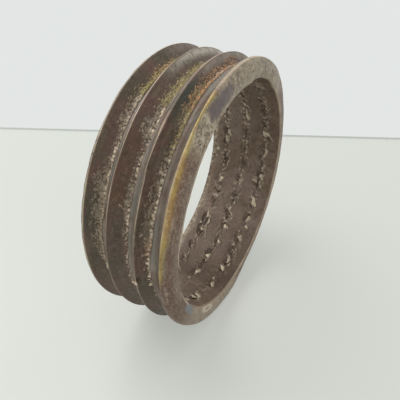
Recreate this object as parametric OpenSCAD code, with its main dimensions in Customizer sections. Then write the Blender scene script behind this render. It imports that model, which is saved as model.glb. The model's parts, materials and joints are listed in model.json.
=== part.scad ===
// Ridged bracelet currency: four cast hoops side by side, joined by three run-in seams.
// Millimetres. The ring stands on its edge: its axis is X, its near end is +X, the table is z = 0.

/* [Ring] */
// Diameter of the opening that the hand passes through
bore_d = 84.2; // [66:0.2:100]
// Thickness of the wall from the opening to the floor of a valley
wall_t = 2.9; // [2:0.1:5]
// Height of the ridges above the floor of a valley
ridge_h = 5; // [3.5:0.1:7]
// Depth of the wear flat across the crests that the ring stands on
stand_flat = 0.3; // [0.25:0.05:0.6]

/* [Hoops] */
// Width of each of the two middle hoops along the axis
middle_hoop_w = 9.1; // [8:0.1:14]
// Place of a middle hoop's crest, as a share of its width from the joint in the ring's middle
middle_crest_share = 0.55; // [0.4:0.01:0.6]
// Width of each of the two rim hoops along the axis
rim_hoop_w = 6.9; // [5.4:0.1:9]
// Distance from the end of the ring back to the middle of a rim hoop's crest
rim_crest_setback = 2; // [1.2:0.1:2.6]
// Width of the worn land along each crest
crest_land = 0.5; // [0.3:0.05:1]
// Hollow of each flank, measured from its straight chord
flank_hollow = 0.4; // [0.2:0.05:0.6]
// Swell of the two end faces, measured from their straight chord
end_swell = 0.3; // [0.15:0.05:0.5]
// Chamfer at both mouths of the opening
mouth_chamfer = 0.5; // [0.2:0.05:1]

/* [Seams] */
// Thickness of the seam metal over the floor of a valley
seam_fill = 1; // [0.6:0.05:1.6]
// Height that the seam metal climbs on the flank at its far side
seam_climb = 2.6; // [1.8:0.1:3]
// Height that the seam metal climbs on the flank at its near side
seam_reach = 1.5; // [1.2:0.1:1.8]
// Thickness of the seam metal where it stops on a flank
seam_edge = 0.3; // [0.2:0.05:0.5]
// Height of the gap that the seam metal leaves unfilled at the root of a valley
seam_root = 0.15; // [0.1:0.05:0.3]

/* [Inner dabs] */
// Width of the groove along each joint inside the opening
groove_w = 2.6; // [1.8:0.1:3.2]
// Depth of that groove
groove_d = 1.1; // [0.8:0.1:1.6]
// Diameter of the ball that gives a dab its domed top
dab_d = 4.8; // [3.8:0.1:5.4]
// Depth of a dab's top below the wall of the opening
dab_setback = 0.1; // [0.05:0.05:0.3]
// Number of dabs along the far joint
far_dabs = 34; // [20:1:40]
// Number of dabs along the middle joint
middle_dabs = 34; // [20:1:40]
// Number of dabs along the near joint
near_dabs = 42; // [20:1:46]

/* [Hidden] */
$fn = 240;
bore_r = bore_d / 2;
valley_r = bore_r + wall_t;
crest_r = valley_r + ridge_h;
ring_w = 2 * (middle_hoop_w + rim_hoop_w);
axis_z = crest_r - stand_flat;

// Joints between the hoops, and the edges of the crest lands, as places along the axis
far_joint = -middle_hoop_w;
middle_joint = 0;
near_joint = middle_hoop_w;
middle_crest = middle_hoop_w * middle_crest_share;
middle_crest_inner = middle_crest - crest_land / 2;
middle_crest_outer = middle_crest + crest_land / 2;
rim_crest = ring_w / 2 - rim_crest_setback;
rim_crest_inner = rim_crest - crest_land / 2;
rim_crest_outer = rim_crest + crest_land / 2;

dark_bronze = "#594c45";
rim_bronze = "#857869";
seam_bronze = "#8b7c5c";
dab_bronze = "#75665a";

// Sections lie in the plane of [radius, place along the axis].

// Radius of the arc that leaves its chord from a to b by a sagitta
function arc_r(a, b, sagitta) = (pow(norm(b - a) / 2, 2) + pow(sagitta, 2)) / (2 * sagitta);

// Centre of that arc where it bows to the left of the way from a to b
function arc_centre(a, b, sagitta) =
    let (along = (b - a) / norm(b - a))
    (a + b) / 2 + [along[1], -along[0]] * (arc_r(a, b, sagitta) - sagitta);

// Centre of the arc that hollows the flank from a joint up to a crest's edge
function flank_centre(joint, edge) =
    edge > joint
        ? arc_centre([valley_r, joint], [crest_r, edge], flank_hollow)
        : arc_centre([crest_r, edge], [valley_r, joint], flank_hollow);

// Radius of that arc
function flank_r(joint, edge) = arc_r([valley_r, joint], [crest_r, edge], flank_hollow);

// Place along the axis of a flank's surface at a height above the valley's floor
function flank_place(joint, edge, height) =
    let (centre = flank_centre(joint, edge), up = valley_r + height - centre[0])
    centre[1] + sign(edge - joint) * sqrt(pow(flank_r(joint, edge), 2) - pow(up, 2));

// Disc that hollows a flank
module flank_disc(joint, edge) {
    translate(flank_centre(joint, edge))
        circle(r = flank_r(joint, edge));
}

// Plain band between two places along the axis, from the opening to the crests
module band_section(from, to) {
    translate([bore_r, from])
        square([crest_r - bore_r, to - from]);
}

// Groove along a joint inside the opening, drawn on past the wall by its own depth
module groove_section(joint) {
    polygon([
        [bore_r - groove_d, joint - groove_w],
        [bore_r + groove_d, joint],
        [bore_r - groove_d, joint + groove_w]
    ]);
}

// Near middle hoop: a ridge with two hollow flanks, grooved inside at both joints
module middle_section() {
    difference() {
        band_section(middle_joint, near_joint);
        flank_disc(middle_joint, middle_crest_inner);
        flank_disc(near_joint, middle_crest_outer);
        groove_section(middle_joint);
        groove_section(near_joint);
    }
}

// Near rim hoop: one hollow flank, and an end face that swells from the crest to the opening
module rim_section() {
    end = ring_w / 2;
    face_foot = [bore_r + mouth_chamfer, end];
    face_top = [crest_r, rim_crest_outer];
    difference() {
        intersection() {
            band_section(near_joint, end + rim_hoop_w);
            translate(arc_centre(face_foot, face_top, end_swell))
                circle(r = arc_r(face_foot, face_top, end_swell));
        }
        flank_disc(near_joint, rim_crest_inner);
        groove_section(near_joint);
        polygon([
            face_foot + [mouth_chamfer, mouth_chamfer],
            face_foot + [-2 * mouth_chamfer, mouth_chamfer],
            face_foot - 2 * [mouth_chamfer, mouth_chamfer]
        ]);
    }
}

// All four hoops side by side
module ring_section() {
    for (side = [0, 1])
        mirror([0, side]) {
            middle_section();
            rim_section();
        }
}

// Seam metal in a valley: a lining that thins from the floor to its edges on the two flanks
module seam_section(far_edge, joint, near_edge) {
    far_stop = flank_place(joint, far_edge, seam_climb);
    near_stop = flank_place(joint, near_edge, seam_reach);
    under = seam_edge + flank_hollow;
    difference() {
        polygon([
            [valley_r + seam_root, joint - under],
            [valley_r + seam_climb, far_stop - under],
            [valley_r + seam_climb, far_stop + seam_edge],
            [valley_r + seam_fill, joint],
            [valley_r + seam_reach, near_stop - seam_edge],
            [valley_r + seam_reach, near_stop + under],
            [valley_r + seam_root, joint + under]
        ]);
        ring_section();
    }
}

// Lays the ring's own axis along X, at its height above the table
module on_axis() {
    translate([0, 0, axis_z])
        rotate([0, 90, 0])
            children();
}

// Hoop turned from a section, with the wear flat that it stands on
module hoop() {
    difference() {
        on_axis()
            rotate_extrude()
                children();
        translate([-ring_w, -crest_r, -crest_r])
            cube([2 * ring_w, 2 * crest_r, crest_r]);
    }
}

// Seam turned from its section
module seam(far_edge, joint, near_edge) {
    on_axis()
        rotate_extrude()
            seam_section(far_edge, joint, near_edge);
}

// Row of domed dabs bedded in the groove along a joint
module dab_row(joint, count) {
    ball_place = bore_r + dab_setback + dab_d / 2;
    on_axis()
        intersection() {
            rotate_extrude()
                groove_section(joint);
            for (i = [0 : count - 1])
                rotate([0, 0, 360 * i / count])
                    translate([ball_place, 0, joint])
                        sphere(d = dab_d);
        }
}

module far_rim_hoop() {
    color(rim_bronze)
        hoop()
            mirror([0, 1])
                rim_section();
}

module far_middle_hoop() {
    color(dark_bronze)
        hoop()
            mirror([0, 1])
                middle_section();
}

module near_middle_hoop() {
    color(dark_bronze)
        hoop()
            middle_section();
}

module near_rim_hoop() {
    color(rim_bronze)
        hoop()
            rim_section();
}

module far_seam() {
    color(seam_bronze)
        seam(-rim_crest_inner, far_joint, -middle_crest_outer);
}

module middle_seam() {
    color(seam_bronze)
        seam(-middle_crest_inner, middle_joint, middle_crest_inner);
}

module near_seam() {
    color(seam_bronze)
        seam(middle_crest_outer, near_joint, rim_crest_inner);
}

module far_inner_dabs() {
    color(dab_bronze)
        dab_row(far_joint, far_dabs);
}

module middle_inner_dabs() {
    color(dab_bronze)
        dab_row(middle_joint, middle_dabs);
}

module near_inner_dabs() {
    color(dab_bronze)
        dab_row(near_joint, near_dabs);
}

far_rim_hoop();
far_middle_hoop();
near_middle_hoop();
near_rim_hoop();
far_seam();
middle_seam();
near_seam();
far_inner_dabs();
middle_inner_dabs();
near_inner_dabs();
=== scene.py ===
# %% [markdown]
# # A heavy bracelet of four ridged hoops
#
# The ring is a bracelet currency of cast copper alloy: four ridged hoops side by side, metal run into the
# three valleys between them, and rows of dabs inside under every valley. It could be drawn as one turned
# profile, but then nobody could take a hoop off it. So every hoop, seam and row of dabs is its own
# surface here, and each replaces the CAD node that it stands for.
#
# Everything is worked out in millimetres round the ring: a place along the axis, a radius, and an angle
# from the top that grows towards +Y. Only the last step turns that into metres.

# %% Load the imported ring
import json
import math
from collections import defaultdict
from functools import partial
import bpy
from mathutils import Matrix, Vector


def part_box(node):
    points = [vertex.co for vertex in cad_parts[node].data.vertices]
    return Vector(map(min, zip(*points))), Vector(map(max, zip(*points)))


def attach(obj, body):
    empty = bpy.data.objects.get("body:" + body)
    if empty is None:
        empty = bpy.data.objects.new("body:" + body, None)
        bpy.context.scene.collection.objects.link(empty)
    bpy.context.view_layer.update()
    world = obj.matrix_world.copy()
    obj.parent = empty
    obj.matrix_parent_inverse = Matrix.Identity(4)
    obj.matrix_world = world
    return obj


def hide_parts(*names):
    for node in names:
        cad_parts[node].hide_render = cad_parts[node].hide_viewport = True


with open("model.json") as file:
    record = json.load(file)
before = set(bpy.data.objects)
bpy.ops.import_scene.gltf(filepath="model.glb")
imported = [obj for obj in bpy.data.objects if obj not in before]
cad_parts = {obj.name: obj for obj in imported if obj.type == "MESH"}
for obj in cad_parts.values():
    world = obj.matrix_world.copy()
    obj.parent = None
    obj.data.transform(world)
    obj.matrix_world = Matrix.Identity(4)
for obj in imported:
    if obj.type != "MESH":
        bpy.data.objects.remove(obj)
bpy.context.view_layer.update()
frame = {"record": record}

from types import SimpleNamespace

import bpy
import numpy as np
from mathutils import Vector

MM = 0.001


# %% [markdown]
# ## The sizes that drive the shapes
#
# The hoops' boxes give the crest radius, the axis height, the joints and the ends, and the bore mount
# gives the opening. Only the few section values that no box can tell are written here.

# %% Read the sizes
near_low, near_high = [np.array(corner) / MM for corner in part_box("near_rim_hoop")]
middle_low = np.array(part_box("near_middle_hoop")[0]) / MM
bore_mount = next(m for m in frame["record"]["mounts"] if m["name"] == "bore")

crest_radius = (near_high[1] - near_low[1]) / 2
axis_height = near_high[2] - crest_radius
bore_radius = bore_mount["dims"]["r_mm"]
ring_end = near_high[0]
near_joint = near_low[0]
middle_joint = middle_low[0]
far_joint = -near_joint

WALL = 2.9                  # metal from the opening to a valley's floor
HALF_LAND = 0.25            # half the worn land on a crest
LAND_DROP = 0.1             # how far the land's edges lie below its top
MIDDLE_CREST_SHARE = 0.55   # a middle hoop's crest, as a share of its width from the middle joint
RIM_SETBACK = 2.0           # from the ring's end back to a rim crest
FLANK_HOLLOW = 0.4          # hollow of a flank below its chord
FACE_SWELL = 0.3            # swell of an end face above its chord
MOUTH = 0.5                 # rounded edge at both mouths of the opening

valley_radius = bore_radius + WALL
ridge = crest_radius - valley_radius
middle_crest = middle_joint + MIDDLE_CREST_SHARE * (near_joint - middle_joint)
rim_crest = ring_end - RIM_SETBACK
CRESTS = {"far_rim": -rim_crest, "far_middle": -middle_crest,
          "near_middle": middle_crest, "near_rim": rim_crest}
print(f"crests at {crest_radius:.2f}, valleys {valley_radius:.2f}, opening {bore_radius:.2f},"
      f" joints at {far_joint:.2f} {middle_joint:.2f} {near_joint:.2f}, ends at {ring_end:.2f}")

# %% [markdown]
# ## Unevenness that closes round the ring
#
# Hand-cast metal is never quite even. Sines would look machine-made, so the unevenness is value noise:
# random heights on a lattice that wraps round the ring, so that no seam shows at the top. Two more
# helpers measure the way to an angle and mark an arc of the ring, because old metal differs from side
# to side.

# %% Soft noise and arcs
LATTICE_DEPTH = 64


def soft_noise(turn, along, cells, seed):
    """Random heights from -1 to 1 on a lattice, `cells` of them round the ring and one per unit of
    `along`. Between four neighbours the height blends by the curve 3t*t - 2t*t*t each way."""
    heights = np.random.default_rng(seed).uniform(-1, 1, (cells, LATTICE_DEPTH))
    turn, along = np.broadcast_arrays(turn * cells, along)
    column = np.floor(turn).astype(int)
    row = np.floor(along).astype(int)
    a = turn - column
    b = along - row
    a = a * a * (3 - 2 * a)
    b = b * b * (3 - 2 * b)
    c0, c1 = column % cells, (column + 1) % cells
    r0, r1 = row % LATTICE_DEPTH, (row + 1) % LATTICE_DEPTH
    low = heights[c0, r0] * (1 - a) + heights[c1, r0] * a
    high = heights[c0, r1] * (1 - a) + heights[c1, r1] * a
    return low * (1 - b) + high * b


def layered_noise(turn, along, cells, seed, layers=3):
    """Sum of soft noise at doubling fineness and halving height, from about -1 to 1."""
    total = 0
    for layer in range(layers):
        fine = 2 ** layer
        total = total + soft_noise(turn, along * fine, cells * fine, seed + layer) / fine
    return total / (2 - 2 ** (1 - layers))


def ramp(value, low, high):
    """0 below low, 1 above high, and the curve 3t*t - 2t*t*t in between."""
    t = np.clip((value - low) / (high - low), 0, 1)
    return t * t * (3 - 2 * t)


def degrees_off(angle, centre):
    """Degrees between an angle and a centre, the short way round."""
    return np.abs((np.degrees(angle) - centre + 180) % 360 - 180)


def arc(angle, start, finish, fade):
    """1 on the arc from start to finish, in degrees from the top, and down to 0 over `fade` degrees
    past either end."""
    past_end = degrees_off(angle, (start + finish) / 2) - (finish - start) / 2
    return 1 - ramp(past_end, 0, fade)


ends = soft_noise(np.array([[0.0], [1.0]]), 0, 9, 1)
print("noise closes round the ring:", np.allclose(ends[0], ends[1]))

# %% [markdown]
# ## From a section to a closed surface
#
# A hoop or a seam is a closed section carried round the ring. On a grid of columns (angles) and rows
# (points of the section) both directions wrap, so the surface has no seam and no pole. Numbers that the
# finishes need go along as vertex attributes.

# %% Close a grid into a mesh
def add_object(name, data):
    """Object with this data, in the scene."""
    item = bpy.data.objects.new(name, data)
    bpy.context.scene.collection.objects.link(item)
    return item


def new_mesh(name, points, faces, marks):
    """Mesh of four-cornered faces from whole arrays, with one float attribute per mark."""
    mesh = bpy.data.meshes.new(name)
    mesh.vertices.add(len(points))
    mesh.vertices.foreach_set("co", (points * MM).ravel())
    mesh.loops.add(faces.size)
    mesh.loops.foreach_set("vertex_index", faces.ravel())
    mesh.polygons.add(len(faces))
    mesh.polygons.foreach_set("loop_start", np.arange(0, faces.size, 4))
    mesh.update(calc_edges=True)
    mesh.shade_smooth()
    for mark, values in marks.items():
        layer = mesh.attributes.new(mark, "FLOAT", "POINT")
        layer.data.foreach_set("value", np.ascontiguousarray(values, np.float32).ravel())
    print(name, len(faces), "faces")
    return add_object(name, mesh)


def closed_ring(name, x, r, angle, marks):
    """Section points (x along the axis, r from it) at every angle: y = r sin(angle) and
    z = axis height + r cos(angle), no lower than the table, which wears the crests flat."""
    columns, rows = x.shape
    y = r * np.sin(angle)
    z = np.maximum(axis_height + r * np.cos(angle), 0)
    here = np.arange(columns * rows).reshape(columns, rows)
    onward = np.roll(here, -1, axis=0)
    faces = np.stack([here, onward, np.roll(onward, -1, axis=1), np.roll(here, -1, axis=1)], axis=-1)
    points = np.stack([x, y, z], axis=-1).reshape(-1, 3)
    return new_mesh(name, points, faces.reshape(-1, 4), marks)


print("the ring's axis is", round(axis_height, 2), "mm above the table")

# %% [markdown]
# ## Marks inside the opening
#
# Under every joint the wall inside has a row of slanted gouges, and beside most of them a lump of metal.
# The gouges belong to the hoops and the lumps are pieces of their own, so both are laid out from one list
# per row. Some lumps are rubbed pale, most of them in the near row, and duller at the top.

# %% Lay out the rows of marks
FAR_MARKS, MIDDLE_MARKS, NEAR_MARKS = 34, 34, 42
MARK_STRAY = 0.28           # how far a mark strays from its even place, as a share of the spacing
MARK_RANGES = {             # in mm, but the slant in degrees and the lump's size and place as shares
    "shift": (-0.8, 0.8), "half_length": (2.3, 3.8), "half_width": (1.1, 1.7), "slant": (-5, 50),
    "depth": (0.25, 0.65), "lump": (0, 1), "lump_ahead": (-0.7, 0.7)}


def mark_row(count, pale_share, seed):
    """Evenly spaced angles, each moved by up to its stray, and sizes drawn from their ranges. A share of
    the marks is pale, by half to fully, less 0.7 of that on the arc at the top."""
    rng = np.random.default_rng(seed)
    spacing = 2 * math.pi / count
    row = {"angle": spacing * (np.arange(count) + rng.uniform(-MARK_STRAY, MARK_STRAY, count))}
    for key, (low, high) in MARK_RANGES.items():
        row[key] = rng.uniform(low, high, count)
    row["slant"] = np.radians(row["slant"])
    chosen = rng.uniform(0, 1, count) < pale_share
    row["pale"] = chosen * rng.uniform(0.5, 1, count) * (1 - 0.7 * arc(row["angle"], 350, 410, 20))
    return row


mark_rows = {
    far_joint: mark_row(FAR_MARKS, 0.25, seed=31),
    middle_joint: mark_row(MIDDLE_MARKS, 0.35, seed=32),
    near_joint: mark_row(NEAR_MARKS, 0.65, seed=33),
}
print("marks inside:", {round(joint, 1): len(row["angle"]) for joint, row in mark_rows.items()})

# %% [markdown]
# ## Gouges and their lips
#
# A hundred boolean cuts would be slow and sharp-edged. So the depth is worked out for every point of the
# wall, all marks of a row at once. Noise bends the outlines, which makes gouges run into rough chains,
# and the metal that was pushed aside stands at a gouge's near side as a low lip.

# %% Depth of the gouges
GOUGE_WARP, GOUGE_POWER = 0.6, 0.8
LIP_PLACE, LIP_SPREAD = 1.25, 0.3


def inside_relief(x, angle):
    """Depth of the gouges and height of their lips. For each mark, d is the distance from its middle in
    half lengths and half widths, warped by noise; the gouge is (1 - d*d)^0.8, and the lip is a bell at
    d = 1.25 on its near side, kept out of the other gouges."""
    turn = angle / (2 * np.pi)
    warp = [GOUGE_WARP * layered_noise(turn, x / 1.3, 200, seed)[..., None] for seed in (41, 45)]
    depth = np.zeros(x.shape)
    lip = np.zeros(x.shape)
    for joint, row in mark_rows.items():
        turned = (angle[..., None] - row["angle"] + np.pi) % (2 * np.pi) - np.pi
        ahead = turned * bore_radius
        aside = x[..., None] - joint - row["shift"]
        cos, sin = np.cos(row["slant"]), np.sin(row["slant"])
        u = (ahead * cos + aside * sin) / row["half_length"] + warp[0]
        v = (aside * cos - ahead * sin) / row["half_width"] + warp[1]
        d = np.hypot(u, v)
        bowl = np.clip(1 - d * d, 0, 1) ** GOUGE_POWER * row["depth"]
        bell = np.exp(-((d - LIP_PLACE) / LIP_SPREAD) ** 2) * row["depth"] * ramp(v, 0, 0.9)
        depth = np.maximum(depth, bowl.max(axis=-1))
        lip = np.maximum(lip, bell.max(axis=-1))
    return depth, lip * (1 - ramp(depth, 0, 0.3))


print("deepest gouge:", round(max(row["depth"].max() for row in mark_rows.values()), 2), "mm")

# %% [markdown]
# ## A hoop's section
#
# A hoop was cast as a ridged band and filed a little by hand. A curve object could sweep its section, but
# then the wear could not change on the way round. So it is drawn with six strokes, each a chord that bows
# in or out: wall, joint or rounded mouth, hollow flanks, worn land, and on a rim hoop the swelling end
# face. An end of a stroke may have one value per angle, which is how a land gets broader where hands
# rubbed it more.

# %% Draw a section with strokes
HOOP_COLUMNS = 900
STROKE_ROWS = {"wall": 44, "rim_wall": 30, "joint": 4, "mouth": 5, "near_flank": 24, "far_flank": 24,
               "land": 8, "face": 34}
CRISP_STROKES = ("wall", "rim_wall", "joint")
CRISP_STEP = 0.03
WEAR_DROP, LAND_BOW, WEAR_BOW = 0.5, 0.06, 0.14
hoop_turn = (np.arange(HOOP_COLUMNS) / HOOP_COLUMNS)[:, None]
hoop_angle = 2 * np.pi * hoop_turn


def stroke(start, finish, bow, kind):
    """Chord from start to finish, moved to its right-hand side by 4 bow s (1 - s) at share s. The finish
    itself is left to the next stroke. A crisp stroke has a tiny step at both ends, so that smooth
    shading doesn't round its corners."""
    rows = STROKE_ROWS[kind]
    run = finish[0] - start[0]
    rise = finish[1] - start[1]
    reach = np.hypot(run, rise)
    s = np.arange(rows) / rows
    if kind in CRISP_STROKES:
        tiny = CRISP_STEP / np.mean(reach)
        s = np.concatenate([[0], np.linspace(tiny, 1 - tiny, rows - 1)])
    bulge = 4 * bow * s * (1 - s)
    x = start[0] + run * s + rise / reach * bulge
    r = start[1] + rise * s - run / reach * bulge
    wide = (HOOP_COLUMNS, rows)
    return np.broadcast_to(x, wide), np.broadcast_to(r, wide), np.full(rows, kind)


def hoop_section(strokes):
    """All strokes one after another, as one closed loop of rows."""
    parts = [stroke(*s) for s in strokes]
    x, r, kind = (np.concatenate([p[i] for p in parts], axis=-1) for i in range(3))
    return x.copy(), r.copy(), kind


def worn_land(crest, far_wear, near_wear):
    """Near and far edge of a crest's land, as (x, r), and its bow. An edge lies half a land from the
    crest plus its wear, and half its wear lower; the bow grows with the wear, so that a broad land is
    round."""
    near = (crest + HALF_LAND + near_wear, crest_radius - LAND_DROP - WEAR_DROP * near_wear)
    far = (crest - HALF_LAND - far_wear, crest_radius - LAND_DROP - WEAR_DROP * far_wear)
    return near, far, LAND_BOW + WEAR_BOW * (far_wear + near_wear)


print("rows by stroke:", STROKE_ROWS)

# %% [markdown]
# ## Uneven metal
#
# A cast crest strays sideways and its flanks have shallow dents. Both are functions of their own, because
# the seams have to follow the same flanks. The third crest also steps sideways at one place, where two
# lengths of the pattern for the casting met.

# %% Stray, dents and outward directions
HOOP_SEEDS = {"far_rim": 100, "far_middle": 200, "near_middle": 300, "near_rim": 400}
CREST_STRAY, CREST_STEP, DENT_DEPTH = 0.22, 0.45, 0.1


def crest_stray(angle, hoop):
    """How far a hoop's crest strays along the axis: layered noise, with a dip at the third crest's step."""
    stray = CREST_STRAY * layered_noise(angle / (2 * np.pi), 0, 14, HOOP_SEEDS[hoop])
    if hoop == "near_middle":
        stray = stray - CREST_STEP * arc(angle, 309, 317, 6)
    return stray


def dents(turn, x, hoop):
    """Shallow unevenness from -1 to 1, about 4 mm across."""
    return layered_noise(turn, x / 3, 80, HOOP_SEEDS[hoop] + 5)


def outward(x, r):
    """Outward direction of a section: its tangent, by differences along the closed loop, turned
    a quarter to the right."""
    along_x = np.roll(x, -1, axis=1) - np.roll(x, 1, axis=1)
    along_r = np.roll(r, -1, axis=1) - np.roll(r, 1, axis=1)
    length = np.hypot(along_x, along_r) + 1e-9
    return along_r / length, -along_x / length


print("third crest strays from", crest_stray(hoop_angle, "near_middle").min().round(2), "mm")

# %% [markdown]
# ## Patterns in the metal
#
# Wear looks right only where shape and dirt agree. So each pattern is worked out once per hoop and used
# twice, to move the surface and to lay the finish. Grit and pits make the sandy skin of an end face;
# furrows, scratches and streaks are left from filing; one blister is the rim of a bubble. Inside, the
# wall is rough along the rows of marks and near the far mouth, and rougher on the lit side. The third
# crest has a lump and a notch beside it.
#
# A zone says for every angle how strongly a feature shows there; a zone that isn't given is 0.

# %% Patterns of a hoop
BLISTER_REACH, BLISTER_RADIUS, BLISTER_HALF, BLISTER_RIM = 2.0, 43.7, 0.9, 0.45
FAR_MOUTH_SAND = (-14.8, -12.6)     # along the axis, where the sandy skin inside the far mouth runs out
ROW_SPREAD = 2.2
hoop_noise = partial(layered_noise, hoop_turn)
stretch = partial(arc, hoop_angle)


def where_strokes(kind, shape):
    """1 on the rows of a stroke and 0 elsewhere, for every kind; both walls and both flanks together."""
    on = SimpleNamespace(**{k: (kind == k) * np.ones(shape) for k in STROKE_ROWS})
    on.wall = on.wall + on.rim_wall
    on.flank = on.near_flank + on.far_flank
    return on


def metal_patterns(x, r, on, zones, hoop):
    """Patterns from 0 to 1, or from -1 to 1 where they are plain noise. Pits are the high side of the
    grit. The blister's rim is a bell at d = 1, d the distance from its middle in half widths."""
    seed = HOOP_SEEDS[hoop]

    def noise(size, cells, offset, layers=3):
        """Noise of a size in mm across the section, with so many cells round the ring."""
        return hoop_noise(r / size, cells, seed + offset, layers)

    p = SimpleNamespace(dent=dents(hoop_turn, x, hoop), depth=np.zeros(x.shape), lip=np.zeros(x.shape))
    p.inner = hoop_noise(x / 5, 50, 71)
    p.nick = ramp(hoop_noise(x / 3, 240, seed + 13), 0.25, 0.8)
    p.furrow = ramp(noise(2.2, 440, 9, layers=2), 0.0, 0.6) * zones["furrowed"]
    p.grit = 0.75 * noise(0.6, 440, 11, layers=1) + 0.25 * noise(2.2, 150, 23)
    p.pits = ramp(p.grit, 0.15, 0.6) * zones["gritty"]
    p.scratch = ramp(noise(0.5, 110, 17, layers=2), 0.15, 0.7) * zones["scratched"]
    p.streak = noise(1.2, 30, 31) * zones["streaked"]
    p.brush = ramp(noise(0.6, 45, 19, layers=2), 0.1, 0.6) * on.flank
    off = np.hypot(BLISTER_REACH * (1 - zones["blister"]), (r - BLISTER_RADIUS) / BLISTER_HALF)
    p.blister = np.exp(-((off - 1) / BLISTER_RIM) ** 2) * on.face
    rows = on.wall[0] > 0
    wide_angle = np.broadcast_to(hoop_angle, x.shape)
    p.depth[:, rows], p.lip[:, rows] = inside_relief(x[:, rows], wide_angle[:, rows])
    p.far_mouth = zones["sandy_wall"] * (1 - ramp(x + 1.6 * p.inner, *FAR_MOUTH_SAND)) * on.wall
    in_rows = sum(np.exp(-((x - joint) / ROW_SPREAD) ** 2) for joint in mark_rows) * on.wall + p.far_mouth
    rough = hoop_noise(x / 0.9, 300, 61, layers=2)
    p.rough = rough * in_rows * (1 + stretch(20, 120, 20))
    below_crest = ramp(r, crest_radius - 1.3, crest_radius - 0.3)
    p.lump = zones["lump"] * (on.land + on.far_flank * below_crest)
    p.notch = zones["notch"] * on.near_flank * ramp(r, crest_radius - 2.2, crest_radius - 0.6)
    return p


print("a blister at", BLISTER_RADIUS, "mm from the axis,", 2 * BLISTER_HALF, "mm across")

# %% [markdown]
# ## Where each coat of the finish lies
#
# The finish could guess at edges and hollows from the bare shape, but the patterns already know them. So
# each coat gets a mark on the vertices: worn bare metal, partly painted highlight, on the crest's line and
# the lip of the mouth, gold on the land and the face's edge, painted glints between the pits, dirt and
# painted shade in pits and gouges, painted shade low on the wall. A violet and a slate patch keep to bands
# of radius on the near face, with ragged edges.

# %% Marks of a hoop
VIOLET_FOOT, VIOLET_TOP, SLATE_TOP = (43.6, 45.0), (47.8, 50.2), (44.4, 46.4)
RAGGED = (0.25, 0.8)
land_across = np.linspace(0, 1, STROKE_ROWS["land"])


def hoop_marks(x, r, kind, on, p, zones, hoop):
    """Share of every coat, from 0 to 1: products of strokes, zones and patterns. Edges fade as
    exp(-distance / width); the land's line is a bell across it."""
    land_line = np.zeros(len(kind))
    land_line[kind == "land"] = np.exp(-((2 * land_across - 1) / 0.55) ** 2)
    land_edge = np.zeros(len(kind))
    land_edge[kind == "land"] = land_across ** 4
    skin = on.face + on.land * zones["rolled"]
    outer = ramp(r, valley_radius - 0.5, crest_radius - 2)
    face_top = np.where(on.face > 0, r, 0).max(axis=1, keepdims=True)
    face_edge = on.face * np.exp(-np.clip(face_top - r, 0, None) / 0.6)
    mouth_edge = on.mouth * 0.7 + on.face * np.exp(-np.clip(r - bore_radius - MOUTH, 0, None) / 0.15)
    by_mouth = on.face + on.mouth + on.wall * ramp(x, ring_end - 2.4, ring_end - 1.4)
    ragged = 0.5 * hoop_noise(r / 0.9, 280, HOOP_SEEDS[hoop] + 29)
    violet = zones["violet"] * ramp(r, *VIOLET_FOOT) * (1 - ramp(r, *VIOLET_TOP))
    slate = zones["slate"] * (1 - ramp(r, *SLATE_TOP))
    crest_band = ramp(r, crest_radius - 3.2, crest_radius - 0.5)
    # painted glints on raised spots between the pits, on scratches and on the blister's rim
    glinting = 0.5 * ramp(-p.grit, 0.1, 0.5) * zones["gritty"] + 0.2 * p.scratch + 0.9 * p.blister
    mild = 0.8 + 0.5 * p.dent
    shares = {
        # worn bare metal on the crest's line, the lump, the bevel's edge and the mouth's edge, partly a
        # painted highlight
        "rubbed": (land_line * zones["shine"] * (0.85 + 0.5 * p.dent - 0.8 * p.nick) + p.lump
                   + 0.6 * zones["gilded"] * land_edge * (0.8 + 0.8 * p.dent)
                   + (0.5 + zones["lipped"]) * mouth_edge * mild),
        "gilded": zones["gilded"] * on.land + zones["gilt_edge"] * face_edge * (0.8 + 0.4 * p.grit),
        "yellow": (0.35 * zones["gilded"] * on.land * ramp(p.dent, 0.1, 0.7)
                   + zones["yellowed"] * (on.land + face_edge) * (0.8 + 0.6 * p.grit)),
        "brushed": 0.5 * p.brush * (1 - 0.85 * np.clip(zones["dusty"], 0, 1)),
        # pale painted sheen on the near flanks just below the crest, at the top of the ring
        "dusty": on.near_flank * zones["dusty"] * crest_band * (0.9 + 0.3 * p.dent),
        "face": skin + on.mouth,
        "sandy": skin * (zones["sandy"] + 0.15 * p.dent) + p.far_mouth * (0.5 + p.rough),
        # painted glints on the face, and on rough highs and lips inside the opening
        "spark": on.face * glinting + 0.5 * on.wall * ramp(p.rough + p.lip, 0.3, 0.8),
        "violet": 0.8 * on.face * ramp(violet + ragged, *RAGGED),
        "slate": 0.8 * by_mouth * ramp(slate + ragged, *RAGGED),
        "gritty": skin * zones["gritty"] * (0.8 + 0.6 * p.dent),
        "streak_pale": skin * (ramp(p.streak, 0.1, 0.6) + 0.3 * zones["rusty"] * (1 - outer)
                               + zones["blushed"]),
        "streak_ruddy": skin * (ramp(-p.streak, 0.1, 0.6) + zones["rusty"] * outer * (0.6 + 0.8 * p.dent)),
        # grey film on the far flanks, lightened as painted sheen for the light they face
        "film": on.far_flank * (0.85 + 0.3 * p.dent),
        "ruddy": on.near_flank * zones["ruddy"] * mild,
        "teal": on.near_flank * zones["teal"] * mild,
        "wall": on.wall * (0.75 + 0.5 * p.inner),
        # painted shade low inside the opening
        "sooty": on.wall * stretch(150, 188, 12) * (1.0 + 0.4 * p.inner),
        # dirt and painted shade in gouges, rough lows, the notch, pits and furrows
        "hollow": (0.6 * ramp(p.depth, 0, 0.6) + 0.4 * ramp(-p.rough, 0.25, 0.7) + 0.8 * p.notch
                   + on.face * (0.35 * p.pits + 0.35 * p.furrow)),
    }
    return {mark: np.clip(share, 0, 1) for mark, share in shares.items()}


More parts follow.
